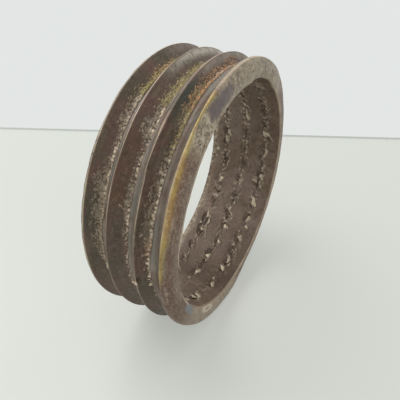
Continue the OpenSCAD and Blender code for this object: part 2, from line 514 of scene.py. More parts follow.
print("rows across a land:", len(land_across))

# %% [markdown]
# ## Making a hoop
#
# A displacement modifier would need a texture for every pattern. Here the section is carried round and
# then moved along its outward directions by the patterns themselves.

# %% Hoop from strokes and zones
even = 0 * hoop_turn


def make_hoop(hoop, strokes, **zones):
    """Hoop from its strokes. The crest's stray grows from 0 at the valley to its full value at the crest;
    then every point moves outward by the sum of its patterns, each times its height in mm."""
    zones = defaultdict(lambda: even, zones)
    x, r, kind = hoop_section(strokes)
    out_x, out_r = outward(x, r)
    on = where_strokes(kind, x.shape)
    x += np.clip((r - valley_radius) / ridge, 0, 1) * crest_stray(hoop_angle, hoop)
    p = metal_patterns(x, r, on, zones, hoop)
    move = (on.flank * DENT_DEPTH * p.dent + on.land * (0.05 * p.dent - 0.12 * p.nick)
            + 0.45 * p.lump - 0.6 * p.notch
            + on.wall * (0.1 * p.inner - p.depth + 0.3 * p.lip + 0.15 * p.rough) + 0.2 * on.mouth * p.dent
            + on.face * (0.14 * p.dent + 0.05 * p.grit - 0.12 * p.pits - 0.1 * p.furrow + 0.05 * p.scratch
                         + 0.1 * p.streak + 0.2 * p.blister))
    x += out_x * move
    r += out_r * move
    marks = hoop_marks(x, r, kind, on, p, zones, hoop)
    return closed_ring("cast_" + hoop + "_hoop", x, r, hoop_angle, marks)


print("columns round a hoop:", HOOP_COLUMNS)

# %% [markdown]
# ## The far rim hoop
#
# The zones of every hoop are read off the real ring: where a crest shines, where a face is sandy or
# scratched. Round the far side, which no eye has seen, the same kinds of wear go on. The far mouth is
# sharper low on the right, where its edge shows against the table.

# %% Make the far rim hoop
rb, rv = bore_radius, valley_radius
MOUTH_BOW = 0.12
shine = 0.5 + 0.5 * hoop_noise(0, 26, 91) + 0.5 * stretch(355, 380, 10)
left_wear = 0.2 * stretch(262, 300, 30)
far_mouth = MOUTH - 0.4 * stretch(85, 160, 20)
near_edge, far_edge, bow = worn_land(-rim_crest, 0.2 + even, left_wear)
far_rim_hoop = make_hoop(
    "far_rim", [
        ((-ring_end + far_mouth, rb), (far_joint, rb), 0, "rim_wall"),
        ((far_joint, rb), (far_joint, rv), 0, "joint"),
        ((far_joint, rv), near_edge, -FLANK_HOLLOW, "near_flank"),
        (near_edge, far_edge, bow, "land"),
        (far_edge, (-ring_end, rb + far_mouth), FACE_SWELL, "face"),
        ((-ring_end, rb + far_mouth), (-ring_end + far_mouth, rb), MOUTH_BOW, "mouth"),
    ],
    shine=shine + 0.5 * stretch(262, 312, 10),
    gritty=0.3 + even,
    dusty=0.3 * stretch(368, 388, 14),
    streaked=0.5 + even,
    sandy_wall=0.7 + even,
    teal=0.35 * stretch(268, 290, 8),
    furrowed=stretch(30, 140, 40),
    scratched=stretch(190, 300, 30),
    gilded=0.5 * stretch(40, 80, 30),
    sandy=0.4 + 0.3 * stretch(320, 400, 40),
)

# %% [markdown]
# ## The two middle hoops
#
# They stand between two joints, so they have two flanks and no face. Their near flanks get a pale
# painted sheen near the top of the ring. The third crest is worn to a broad, dull shoulder near the top.

# %% Make the middle hoops
def middle_hoop(hoop, far, near, far_wear, **zones):
    """Hoop between two joints: wall inside, joint, flank, land, flank, joint."""
    near_edge, far_edge, bow = worn_land(CRESTS[hoop], far_wear, even)
    return make_hoop(hoop, [
        ((far, rb), (near, rb), 0, "wall"),
        ((near, rb), (near, rv), 0, "joint"),
        ((near, rv), near_edge, -FLANK_HOLLOW, "near_flank"),
        (near_edge, far_edge, bow, "land"),
        (far_edge, (far, rv), -FLANK_HOLLOW, "far_flank"),
        ((far, rv), (far, rb), 0, "joint"),
    ], **zones)


# the arc at the top of the ring where the near flanks get a pale painted sheen
top_sheen_arc = stretch(356, 388, 16)
far_middle_hoop = middle_hoop(
    "far_middle", far_joint, middle_joint, even,
    shine=shine + 0.4 * stretch(290, 340, 15),
    ruddy=stretch(296, 316, 8),
    dusty=1.2 * top_sheen_arc,
    teal=0.35 * stretch(266, 288, 8),
)
broad_shoulder = 1.1 * stretch(323, 366, 5)
near_middle_hoop = middle_hoop(
    "near_middle", middle_joint, near_joint, broad_shoulder,
    shine=shine + 0.3 * stretch(288, 317, 8) - 0.3 * stretch(323, 370, 5),
    teal=stretch(331, 342, 8),
    lump=stretch(264.2, 264.8, 0.9),
    notch=stretch(265.5, 266.2, 1.0),
    dusty=0.5 * top_sheen_arc,
)

# %% [markdown]
# ## The near rim hoop
#
# Its crest is worn to a golden bevel on the left and rolled over at the foot and the top, where the face
# swells more. The mouth isn't quite round: its lip stands in on the left and out at the top. The face
# goes from rusty and scratched on the left over a gritty stretch to sandy and furrowed at the top, with a
# violet patch high up, a slate patch near the foot, and a blush of pale metal low down.

# %% Make the near rim hoop
golden_bevel = 0.9 * stretch(292, 306, 24)
rolled_edge = 1.4 * stretch(182, 250, 24) + 0.8 * stretch(346, 395, 14)
near_edge, far_edge, bow = worn_land(rim_crest, 0.5 * rolled_edge, golden_bevel + rolled_edge)
face_bow = FACE_SWELL + 0.4 * stretch(190, 300, 25) + 0.4 * stretch(346, 395, 14)
near_mouth = MOUTH + 0.5 * stretch(236, 262, 12) - 0.4 * stretch(286, 324, 14)
lip_radius = rb - 0.4 * stretch(288, 324, 16) + 0.9 * stretch(374, 390, 9)
near_rim_hoop = make_hoop(
    "near_rim", [
        ((near_joint, rb), (ring_end - near_mouth, lip_radius), 0, "rim_wall"),
        ((ring_end - near_mouth, lip_radius), (ring_end, lip_radius + near_mouth), MOUTH_BOW, "mouth"),
        ((ring_end, lip_radius + near_mouth), near_edge, face_bow, "face"),
        (near_edge, far_edge, bow, "land"),
        (far_edge, (near_joint, rv), -FLANK_HOLLOW, "far_flank"),
        ((near_joint, rv), (near_joint, rb), 0, "joint"),
    ],
    shine=shine - 0.4 * stretch(180, 340, 8),
    gilded=np.maximum(stretch(288, 334, 8), 0.45 * stretch(272, 288, 6)),
    gilt_edge=0.7 * stretch(290, 309, 8),
    gritty=(0.15 + 0.95 * stretch(322, 330, 5) + 0.15 * stretch(287, 314, 8)
            + 0.35 * stretch(345, 400, 20)),
    furrowed=np.maximum(stretch(350, 400, 15), 1.6 * stretch(246, 252, 4)),
    scratched=stretch(250, 290, 10),
    streaked=0.4 + 0.5 * stretch(262, 290, 10),
    sandy=0.75 * stretch(346, 400, 20) + 0.6 * stretch(321, 330, 6) + 0.4 * stretch(185, 228, 20),
    rusty=np.maximum(stretch(258, 285, 8), 0.8 * stretch(301, 309, 4)),
    blushed=np.maximum(0.9 * stretch(186, 226, 14), 0.4 * stretch(318, 330, 6)),
    yellowed=0.8 * stretch(317, 322, 3) + 0.4 * stretch(328, 337, 4) + 0.35 * stretch(272, 286, 4),
    # painted highlight along the mouth's lip
    lipped=np.maximum(0.9 * stretch(245, 288, 8), 0.3 * stretch(60, 170, 20)),
    rolled=np.clip(rolled_edge, 0, 1),
    blister=np.clip(1 - degrees_off(hoop_angle, 214) / 9, 0, 1),
    violet=stretch(335, 345, 7),
    slate=stretch(234.5, 242, 3),
)
hoops = [far_rim_hoop, far_middle_hoop, near_middle_hoop, near_rim_hoop]
print("hoops:", {h.name: len(h.data.polygons) for h in hoops})

# %% [markdown]
# ## Grains and beads
#
# Metal run into a valley froze rough, in grains about half a millimetre across, with a string of larger
# beads along the valley's bottom. Thousands of little balls would be too many faces, so they are round
# caps on jittered lattices, added to the height of one surface. They still throw real shadows.

# %% Caps on jittered lattices
BEAD_SPACING = 1.15
BEAD_CELLS = round(2 * math.pi * (valley_radius + 0.8) / BEAD_SPACING)


def grain_caps(turn, along, pitch, cells, seed):
    """Round caps, one in each cell of a jittered lattice: the height sqrt(1 - d*d) of the nearest
    cap, d its distance in radii, and a random number from 0 to 1 that belongs to that cap."""
    rng = np.random.default_rng(seed)
    shape = (cells, LATTICE_DEPTH)
    offset_u, offset_v = rng.uniform(0.1, 0.9, (2, *shape))
    radius = rng.uniform(0.38, 0.8, shape)
    lot = rng.uniform(0, 1, shape)
    u, v = np.broadcast_arrays(turn * cells, along / pitch)
    column = np.floor(u).astype(int)
    row = np.floor(v).astype(int)
    best = np.zeros(u.shape)
    owner = np.zeros(u.shape)
    for du in (-1, 0, 1):
        for dv in (-1, 0, 1):
            c, w = (column + du) % cells, (row + dv) % LATTICE_DEPTH
            gap_u = u - (column + du + offset_u[c, w])
            gap_v = v - (row + dv + offset_v[c, w])
            cap = np.sqrt(np.clip(1 - (gap_u ** 2 + gap_v ** 2) / radius[c, w] ** 2, 0, 1))
            cap = cap * (0.3 + 0.7 * lot[c, w])
            owner = np.where(cap > best, lot[c, w], owner)
            best = np.maximum(best, cap)
    return best, owner


def bead_string(turn, away, seed):
    """One bead per cell along the line away = 0: height sqrt(R*R - d*d) in mm, d the distance from the
    bead's jittered middle and R its own radius."""
    rng = np.random.default_rng(seed)
    offset = rng.uniform(0.2, 0.8, BEAD_CELLS)
    aside = rng.uniform(-0.28, 0.2, BEAD_CELLS)
    radius = rng.uniform(0.28, 0.62, BEAD_CELLS)
    u, away = np.broadcast_arrays(turn * BEAD_CELLS, away)
    column = np.floor(u).astype(int)
    height = np.zeros(u.shape)
    for step in (-1, 0, 1):
        cell = (column + step) % BEAD_CELLS
        gap_u = (u - (column + step + offset[cell])) * BEAD_SPACING
        gap_v = away - aside[cell]
        height = np.maximum(height, np.sqrt(np.clip(radius[cell] ** 2 - gap_u ** 2 - gap_v ** 2, 0, None)))
    return height


print("beads in a string:", BEAD_CELLS)

# %% [markdown]
# ## A seam's profile
#
# On the valley's far side the run-in metal is a granular crust that climbs the flank; on the near side it
# is a smooth fillet, a parabola that is tangent to the next flank. Where the crust runs out it sinks
# below the flank, so that only its tallest grains still stand out and its edge is broken.

# %% Profile of a valley
BEAD_SHIFT, BEAD_RISE = -0.15, 0.8      # the bead line from the joint, and above the valley's floor
FAR_FOOT, NEAR_FOOT = 0.4, 0.45         # where the lining meets the flanks, as shares of their width
rise = ridge - LAND_DROP


def flank_height(away, run):
    """Height of a flank above the valley's floor at a distance `away` from the joint: the chord of
    slope rise / run, less its hollow 4 hollow s (1 - s)."""
    s = np.clip(away / run, 0, 1)
    return rise * s - 4 * FLANK_HOLLOW * s * (1 - s) * np.hypot(rise, run) / run


def flank_slope(away, run):
    """Slope of that flank, the derivative of its height."""
    return rise / run - 4 * FLANK_HOLLOW * (1 - 2 * away / run) * np.hypot(rise, run) / run ** 2


def valley_base(away, far_run, near_run):
    """Bare flank, and the lining over it: on the far side the higher of the flank and a chord from the
    bead line to the flank, on the near side the parabola through the bead line that is tangent to the
    flank at its foot."""
    flank = np.where(away < 0, flank_height(-away, far_run), flank_height(away, near_run))
    far_foot, near_foot = -FAR_FOOT * far_run, NEAR_FOOT * near_run
    chord_slope = (flank_height(-far_foot, far_run) - BEAD_RISE) / (far_foot - BEAD_SHIFT)
    chord = BEAD_RISE + chord_slope * (away - BEAD_SHIFT)
    foot_height, foot_slope = flank_height(near_foot, near_run), flank_slope(near_foot, near_run)
    reach = BEAD_SHIFT - near_foot
    bend = (BEAD_RISE - foot_height - foot_slope * reach) / reach ** 2
    beyond = np.minimum(away - near_foot, 0)
    parabola = foot_height + foot_slope * beyond + bend * beyond ** 2
    near_side = np.where(away < near_foot, parabola, flank)
    return flank, np.where(away < BEAD_SHIFT, np.maximum(flank, chord), near_side)


middle_run = middle_crest - HALF_LAND - middle_joint
foot = flank_height(NEAR_FOOT * middle_run, middle_run)
print("the middle fillet's foot is", round(foot, 2), "mm above the valley's floor")

# %% [markdown]
# ## Crust and its colours
#
# Every grain keeps a random number of its own. It decides how far up the flank that grain still stands
# out, how bright it is, and whether it takes an olive or a copper stain; the ground between the grains
# takes them a little. Close to the beads the crust is paler, away from them lies a smear of grey, and a
# seam's tone makes all its grains brighter or darker.

# %% Crust of a seam
SEAM_COLUMNS = 1700
FINE_PITCH, FINE_CELLS = 0.5, 580
COARSE_PITCH, COARSE_CELLS = 0.8, 360
GROUND_STAIN, CLOSE_BY = 0.6, 0.9
seam_turn = (np.arange(SEAM_COLUMNS) / SEAM_COLUMNS)[:, None]
seam_noise = partial(layered_noise, seam_turn)


def crust_patterns(away, path, flank, cover, drift, seed):
    """Grains, beads and lumps of a crust. Its reach up the flank is 0.5 to 3.5 mm with the cover, plus
    noise; `full` is 1 well below that reach and 0 above it. The bead line drifts along the axis."""
    c = SimpleNamespace()
    c.fine, fine_lot = grain_caps(seam_turn, path, FINE_PITCH, FINE_CELLS, seed)
    c.coarse, coarse_lot = grain_caps(seam_turn, path, COARSE_PITCH, COARSE_CELLS, seed + 1)
    c.lot = np.where(c.coarse > c.fine, coarse_lot, fine_lot)
    c.hue = (c.lot * 7) % 1
    c.lumps = seam_noise(path / 2.4, 120, seed + 3)
    c.line = BEAD_SHIFT + drift + 0.2 * seam_noise(0, 24, seed + 5)
    string = ramp(0.8 * cover + 0.7 * seam_noise(0, 80, seed + 6), 0.05, 0.35)
    c.beads = bead_string(seam_turn, away - c.line + 0.1, seed + 7) * string
    reach = 0.5 + 3.0 * cover + (0.3 + 1.2 * cover) * seam_noise(path / 3, 90, seed + 2)
    c.full = ramp(reach + 1.8 * (c.hue - 0.5) - flank, -0.6, 1.6)
    c.crusty = ramp(c.line + 0.35 - away, -0.12, 0.12)
    return c


def seam_marks(c, away, olive, copper, tone, seed):
    """Share of every coat of a seam, from 0 to 1, on its crust; the fillet is the rest. Closeness to the
    bead line is exp(-distance / 0.9 mm)."""
    close = np.exp(-np.clip(c.line - away, 0, None) / CLOSE_BY)
    bright = 0.55 + 0.7 * seam_noise(0, 24, seed + 9)
    caps = ramp(np.maximum(c.fine, 0.9 * c.coarse), 0.05, 0.7)
    ground = GROUND_STAIN * (c.lot == 0)
    stain = c.crusty * (0.4 + 0.6 * close)
    return {
        "grain": c.crusty * np.maximum(caps * np.clip(tone * (0.45 + 0.55 * c.lot), 0, 1),
                                       ramp(c.beads, 0.08, 0.3)),
        "smear": c.crusty * (1 - close) * np.clip(0.35 + 0.8 * c.lumps, 0, 1),
        "pale": c.crusty * np.clip(bright, 0, 1) * ramp(c.lot + 0.5 * close + 0.3 * c.lumps, 0.9, 1.3),
        "beads": c.crusty * np.clip(bright + 0.2, 0, 1) * ramp(c.beads, 0.08, 0.4),
        "bare": c.crusty * (1 - ramp(c.full, 0.05, 0.6)) * (1 - ramp(c.beads, 0, 0.1)),
        "fillet": 1 - c.crusty,
        "olive": stain * olive * np.maximum(ramp(c.lot, 0.2, 0.4), ground),
        "copper": stain * copper * np.maximum(ramp(c.hue, 0.25, 0.85), ground),
    }


print("grains round the ring:", FINE_CELLS, "fine and", COARSE_CELLS, "coarse in a row")

# %% [markdown]
# ## Lining a valley
#
# A tube laid in the valley would stand on the flanks like a cord. So the seam's top is the valley's
# profile plus the crust's thickness along the normal, and a few rows under it, hidden in the hoops, close
# the section.

# %% Line a valley
CRUST_ROWS, FILLET_ROWS, UNDER_ROWS = 43, 9, 6
FAR_END, NEAR_END = 0.85, 0.62      # how far up the flanks a lining's rows go, as shares of their width
UNDER_DEPTH = 0.7
seam_angle = 2 * np.pi * seam_turn


def make_seam(seam, joint, far, near, cover, drift, olive, copper, tone, seed):
    """Lining of one valley. The top is the base plus a thickness along its normal: the crust's where it
    is crusty, and the fillet's elsewhere, which sinks below the flank at its end."""
    far_run = joint - CRESTS[far] - HALF_LAND
    near_run = CRESTS[near] - HALF_LAND - joint
    away = np.concatenate([np.linspace(-FAR_END * far_run, BEAD_SHIFT + 0.8, CRUST_ROWS),
                           np.linspace(BEAD_SHIFT + 0.95, NEAR_END * near_run, FILLET_ROWS)])
    flank, base = valley_base(away, far_run, near_run)
    slope = np.gradient(base, away)
    lean = np.hypot(1, slope)
    path = np.concatenate([[0], np.cumsum(np.hypot(np.diff(away), np.diff(base)))])
    c = crust_patterns(away, path, flank, cover, drift, seed)

    grains = 0.2 * c.fine + 0.2 * np.maximum(c.coarse - 0.2, 0)
    crust = -0.28 + 0.34 * c.full + 0.14 * c.lumps * c.full + grains * (0.35 + 0.65 * c.full)
    crust = np.maximum(crust, 0.95 * c.beads - 0.12) + DENT_DEPTH * dents(seam_turn, joint + away, far)
    sink = (0.06 * ramp(away, 0.3 * near_run, 0.5 * near_run)
            + 0.3 * ramp(away, 0.57 * near_run, NEAR_END * near_run))
    fillet = DENT_DEPTH * dents(seam_turn, joint + away, near) - sink
    thick = c.crusty * crust + (1 - c.crusty) * fillet
    stray = np.where(away < 0, crest_stray(seam_angle, far), crest_stray(seam_angle, near)) * flank / ridge
    top_x = joint + away - slope / lean * thick + stray
    top_r = valley_radius + base + thick / lean
    under = np.linspace(len(away) - 1, 0, UNDER_ROWS).astype(int)
    under_x = (joint + away + stray)[:, under]
    under_r = np.broadcast_to((valley_radius + flank - UNDER_DEPTH)[under], under_x.shape)

    def loop(top, below):
        """Rows of the top and of the underside as one loop, turned so that its faces point outwards."""
        return np.concatenate([np.broadcast_to(top, top_x.shape), below], axis=1)[:, ::-1]

    hidden = np.zeros(under_x.shape)
    shares = seam_marks(c, away, olive, copper, tone, seed)
    marks = {mark: loop(share, hidden) for mark, share in shares.items()}
    return closed_ring("granular_" + seam, loop(top_x, under_x), loop(top_r, under_r), seam_angle, marks)


print("rows of a seam:", CRUST_ROWS + FILLET_ROWS + UNDER_ROWS)

# %% [markdown]
# ## The three seams
#
# The crust is broad low on the left, thins to a bare string of beads higher up, broadens again near the
# top, and stops before the ring's foot. So each seam has a cover from 0 to 1 for every angle. Its arcs
# and the stains are read off the real ring; behind, the cover comes from noise alone.

# %% Make the three seams
seam_stretch = partial(arc, seam_angle)


def crust_cover(broad, thin, seed):
    """Share of a flank that the crust climbs: noise about 0.5, more on the broad arcs, less on the thin
    ones, and none at the ring's foot."""
    cover = 0.5 + 0.25 * seam_noise(0, 20, seed)
    cover = cover + sum(0.45 * seam_stretch(*span, 14) for span in broad)
    cover = cover - sum(0.4 * seam_stretch(*span, 6) for span in thin)
    return np.clip(cover * (1 - 0.9 * seam_stretch(190, 258, 10)), 0, 1)


far_seam = make_seam(
    "far_seam", far_joint, "far_rim", "far_middle",
    cover=crust_cover([(274, 298)], [(306, 318), (370, 384)], seed=51),
    drift=-0.25 * seam_stretch(328, 345, 8) - 0.7 * seam_stretch(250, 278, 12),
    olive=seam_stretch(338, 366, 6),
    copper=0.6 * seam_stretch(347, 358, 4),
    tone=1.25,
    seed=500,
)
middle_seam = make_seam(
    "middle_seam", middle_joint, "far_middle", "near_middle",
    cover=crust_cover([], [(252, 284), (303, 315), (368, 384)], seed=52),
    drift=0.5 * seam_stretch(322, 345, 12) - 0.5 * seam_stretch(245, 264, 12),
    olive=seam_stretch(335, 360, 6),
    copper=0 * seam_angle,
    tone=1.0,
    seed=600,
)
near_seam = make_seam(
    "near_seam", near_joint, "near_middle", "near_rim",
    cover=crust_cover([(288, 300), (335, 370)], [(382, 388)], seed=53),
    drift=-0.3 - 0.4 * seam_stretch(335, 365, 15) - 0.7 * seam_stretch(250, 272, 12),
    olive=0.7 * seam_stretch(320, 345, 8),
    copper=np.maximum(seam_stretch(336, 374, 5), 0.4 * seam_stretch(277, 282, 3)),
    tone=0.85 + 0.5 * seam_stretch(335, 374, 6),
    seed=700,
)
seams = [far_seam, middle_seam, near_seam]
print("seams:", {s.name: len(s.data.polygons) for s in seams})

# %% [markdown]
# ## The dabs inside
#
# A lump beside a gouge is a stretched ball with an uneven radius, bedded with its top a little proud of
# the wall. One mesh holds a row. Lumps with a low size number are small and sit deep, so that some gouges
# look empty. The near row's are larger.

# %% Press the dabs into their pits
DAB_ROUND, DAB_RINGS = 12, 7
DAB_LENGTH, DAB_WIDTH = 1.8, 1.1
DAB_AHEAD, DAB_BED = 0.3, 0.15


def make_dabs(name, joint, size, seed):
    """One closed ball per mark on a grid of longitude and latitude, its poles along the radius. The
    ball is stretched along its slant, scaled across by `size`, made uneven by random waves, and bent to
    the wall's curve."""
    row = {key: values[:, None, None] for key, values in mark_rows[joint].items()}
    count = len(mark_rows[joint]["angle"])
    rng = np.random.default_rng(seed)
    lon = (2 * np.pi * np.arange(DAB_ROUND) / DAB_ROUND)[:, None]
    lat = np.pi * (np.arange(DAB_RINGS) + 0.5) / DAB_RINGS
    phase = rng.uniform(0, 2 * np.pi, (5, count, 1, 1))
    knobs = (1 + 0.22 * np.sin(2 * lon + phase[0]) + 0.2 * np.sin(3 * lon + phase[1])
             + 0.14 * np.sin(5 * lon + phase[2]) * np.sin(2 * lat + phase[3]))
    across = np.sin(lat) * knobs * (0.55 + 0.45 * row["lump"]) * size
    u = across * np.cos(lon) * DAB_LENGTH + row["lump_ahead"] * row["half_length"]
    v = across * np.sin(lon) * DAB_WIDTH + 0.7 * row["half_width"]
    bumpy = 1 + 0.2 * np.sin(3 * lon + phase[4]) * np.sin(lat)
    up = np.cos(lat) * bumpy * (0.3 + 0.5 * row["lump"])
    cos, sin = np.cos(row["slant"]), np.sin(row["slant"])
    angle = row["angle"] + (u * cos - v * sin + DAB_AHEAD) / bore_radius
    x = joint + row["shift"] + u * sin + v * cos
    r = bore_radius + DAB_BED - up
    points = np.stack([x, r * np.sin(angle), axis_height + r * np.cos(angle)], axis=-1)
    here = np.arange(points[..., 0].size).reshape(count, DAB_ROUND, DAB_RINGS)
    onward = np.roll(here, -1, axis=1)
    faces = np.stack([here[..., :-1], here[..., 1:], onward[..., 1:], onward[..., :-1]], axis=-1)
    fans = [(0, s, s + 1, s + 2) for s in range(1, DAB_ROUND - 2, 2)]
    caps = [here[:, fan, 0] for fan in fans] + [here[:, fan[::-1], -1] for fan in fans]
    faces = np.concatenate([faces.reshape(-1, 4), *caps])
    marks = {"top": np.clip((up + 0.05) / 0.35, 0, 1), "pale": row["pale"] + 0 * up}
    return new_mesh(name, points.reshape(-1, 3), faces, marks)


far_inner_dabs = make_dabs("pressed_far_dabs", far_joint, 1.0, seed=800)
middle_inner_dabs = make_dabs("pressed_middle_dabs", middle_joint, 1.0, seed=810)
near_inner_dabs = make_dabs("pressed_near_dabs", near_joint, 1.25, seed=820)
dab_rows = [far_inner_dabs, middle_inner_dabs, near_inner_dabs]
print("dabs:", {d.name: len(d.data.polygons) for d in dab_rows})

# %% [markdown]
# ## Colours and nodes
#
# A colour is picked as an sRGB hex value, the way a paint chart gives it, and the shader wants linear
# light, so one function converts. One more adds a node with its settings and links.

# %% Helpers for the finishes
def to_linear(colour):
    """sRGB hex to linear RGBA: v / 12.92 up to 0.04045, ((v + 0.055) / 1.055)^2.4 above."""
    values = [int(colour[i:i + 2], 16) / 255 for i in (1, 3, 5)]
    return [v / 12.92 if v <= 0.04045 else ((v + 0.055) / 1.055) ** 2.4 for v in values] + [1.0]


def add_node(tree, kind, sockets={}, **settings):
    """Adds one shader node. A socket takes a value, or a link where the value given is another node's
    output; settings are the node's properties."""
    node = tree.nodes.new(kind)
    for name, value in settings.items():
        setattr(node, name, value)
    for name, value in sockets.items():
        if isinstance(value, bpy.types.NodeSocket):
            tree.links.new(value, node.inputs[name])
        else:
            node.inputs[name].default_value = value
    return node


# Sockets of the Mix node, which go by number because its kinds share their names
FACTOR, COLOUR_A, COLOUR_B, COLOUR_OUT = 0, 6, 7, 2
print("mid grey in linear light:", round(to_linear("#808080")[0], 3))

# %% [markdown]
# ## Old bronze in coats
#
# All the metal is one old copper alloy, but its surface was made in three ways: cast and handled, run in
# and left raw, or pressed in. Each finish is a stack of coats over a ground colour, like a restorer's
# retouching. A coat's share is a mark on the vertices, a fleck of noise with a real size, or a product
# of them. Patina covers most of the metal, so the shader is only partly metallic, and satin.

# %% Build a finish from its recipe
METALLIC = 0.35
NOISE_DETAIL, NOISE_ROUGHNESS = 3.0, 0.6
BUMP_STRENGTH, BUMP_MM = 0.5, 0.25


def old_bronze(name, ground, flecks, coats, roughness, grain_mm):
    """Copper alloy under an old skin. Flecks are noise of a size in mm, spread from low to high to a
    share of 0 to `most`; every other name in the coats is a mark. Coats are laid in order; roughness
    runs between two values with the first fleck; the bump is the grain of the mould."""
    material = bpy.data.materials.new(name)
    material.use_nodes = True
    tree = material.node_tree
    tree.nodes.clear()
    shader = add_node(tree, "ShaderNodeBsdfPrincipled", {"Metallic": METALLIC})
    add_node(tree, "ShaderNodeOutputMaterial", {"Surface": shader.outputs["BSDF"]})
    place = add_node(tree, "ShaderNodeTexCoord").outputs["Object"]
    fine = {"Vector": place, "Detail": NOISE_DETAIL, "Roughness": NOISE_ROUGHNESS}
    shares = {}
    for mark in sorted({n for names, tint in coats for n in names.split(" x ")} - set(flecks)):
        shares[mark] = add_node(tree, "ShaderNodeAttribute", attribute_name=mark).outputs["Fac"]
    for fleck, (size, low, high, most) in flecks.items():
        noise = add_node(tree, "ShaderNodeTexNoise", {**fine, "Scale": 1 / (size * MM)})
        spread = add_node(tree, "ShaderNodeMapRange", {
            "Value": noise.outputs["Fac"], "From Min": low, "From Max": high, "To Max": most})
        shares[fleck] = spread.outputs["Result"]
    colour = to_linear(ground)
    for names, tint in coats:
        share, *others = [shares[n] for n in names.split(" x ")]
        for other in others:
            product = add_node(tree, "ShaderNodeMath", {0: share, 1: other}, operation="MULTIPLY")
            share = product.outputs[0]
        coat = add_node(tree, "ShaderNodeMix", {
            FACTOR: share, COLOUR_A: colour, COLOUR_B: to_linear(tint)}, data_type="RGBA")
        colour = coat.outputs[COLOUR_OUT]
    tree.links.new(colour, shader.inputs["Base Color"])
    rough = add_node(tree, "ShaderNodeMapRange", {
        "Value": shares[next(iter(flecks))], "To Min": roughness[0], "To Max": roughness[1]})
    tree.links.new(rough.outputs["Result"], shader.inputs["Roughness"])
    skin = add_node(tree, "ShaderNodeTexNoise", {**fine, "Scale": 1 / (grain_mm * MM)})
    bump = add_node(tree, "ShaderNodeBump", {
        "Height": skin.outputs["Fac"], "Strength": BUMP_STRENGTH, "Distance": BUMP_MM * MM})
    tree.links.new(bump.outputs["Normal"], shader.inputs["Normal"])
    print(name, len(tree.nodes), "nodes")
    return material


print("bare metal in the shader:", METALLIC)

# %% [markdown]
# ## Patina of the hoops
#
# Brown oxide on the near flanks, with ruddy and teal stains and a pale painted sheen at the top; a grey
# film on the far flanks, lightened as painted sheen; brown skin on the end faces with streaks, sand, dark
# pits and painted glints; painted shade low inside; gold where the bevel is worn through, yellow at its
# ends; tan bare metal on the crests, partly painted highlight, a little yellower on the rims, which were
# handled most.

# %% Finish of the hoops
BROWN, BROWN_RUDDY, BROWN_OLIVE = "#665347", "#6d5149", "#5a4f40"
# grey film colours, lightened as painted sheen; the fillets wear them too
FILM_SHEEN_WARM, FILM_SHEEN_COOL, FILM_SHEEN_BROWN = "#988a7f", "#858178", "#7a685c"
CLOUD, STAIN = (8.0, 0.4, 0.62, 1.0), (13.0, 0.47, 0.62, 1.0)
HOOP_FLECKS = {"mottle": (2.6, 0.4, 0.65, 1.0), "cloud": CLOUD, "stain": STAIN,
               "speck": (0.7, 0.5, 0.7, 0.6), "grime": (1.7, 0.5, 0.68, 0.6),
               "salt": (0.6, 0.5, 0.62, 0.9), "pepper": (0.8, 0.5, 0.62, 0.9)}


def patina(name, bare):
    """Coats of a hoop, from the brown ground to the dirt and painted shade in its pits."""
    return old_bronze(name, BROWN, HOOP_FLECKS, [
        ("cloud", BROWN_RUDDY),
        ("stain", BROWN_OLIVE),
        ("ruddy", "#654a3a"),
        ("teal", "#4a4e47"),
        ("wall", "#7d6858"),
        ("wall x cloud", "#7f6f65"),
        ("wall x stain", "#6d5a4c"),
        # painted shade low inside the opening
        ("sooty", "#5a483b"),
        ("mottle x speck", "#94846f"),
        # pale painted sheen at the top of the ring
        ("dusty", "#beb3a5"),
        # grey film on the far flanks, lightened as painted sheen
        ("film", FILM_SHEEN_WARM),
        ("film x cloud", FILM_SHEEN_COOL),
        ("film x stain", FILM_SHEEN_BROWN),
        ("brushed", "#7a6a59"),
        ("grime", "#4d4236"),
        ("face", "#674a3a"),
        ("face x mottle", "#735545"),
        ("streak_ruddy", "#5f4137"),
        ("streak_pale", "#968273"),
        ("sandy", "#aea18a"),
        ("face x grime", "#48382e"),
        ("face x speck", "#9b8172"),
        ("gritty x pepper", "#4b3d34"),
        ("gritty x salt", "#cebdab"),
        # painted glints
        ("spark", "#cfc0aa"),
        ("violet", "#695d61"),
        ("slate", "#797f85"),
        ("gilded", "#a68150"),
        ("gilded x mottle", "#b8965a"),
        ("gilded x grime", "#67492e"),
        ("gilded x pepper", "#8a683b"),
        ("yellow", "#b9a962"),
        # worn bare metal, partly a painted highlight on crest lines and mouth edges
        ("rubbed", bare),
        # dirt and painted shade in gouges, pits, furrows and the notch
        ("hollow", "#45382c"),
    ], roughness=(0.42, 0.55), grain_mm=0.8)


# the last colour is worn bare metal, laid also as painted highlight on crest lines and mouth edges
middle_bronze = patina("brown_patinated_bronze", "#cfbba2")
rim_bronze = patina("rim_patinated_bronze", "#c9b8a0")

# %% [markdown]
# ## Skin of the seams
#
# The run-in metal was never cleaned. Dark oxide lies between dull brown or grey grains, and the beads
# were rubbed to tan. Near the top olive and copper stains show. The fillet wears the grey film and
# painted sheen of the flank that it runs into, and where the crust runs out the flank's brown shows.

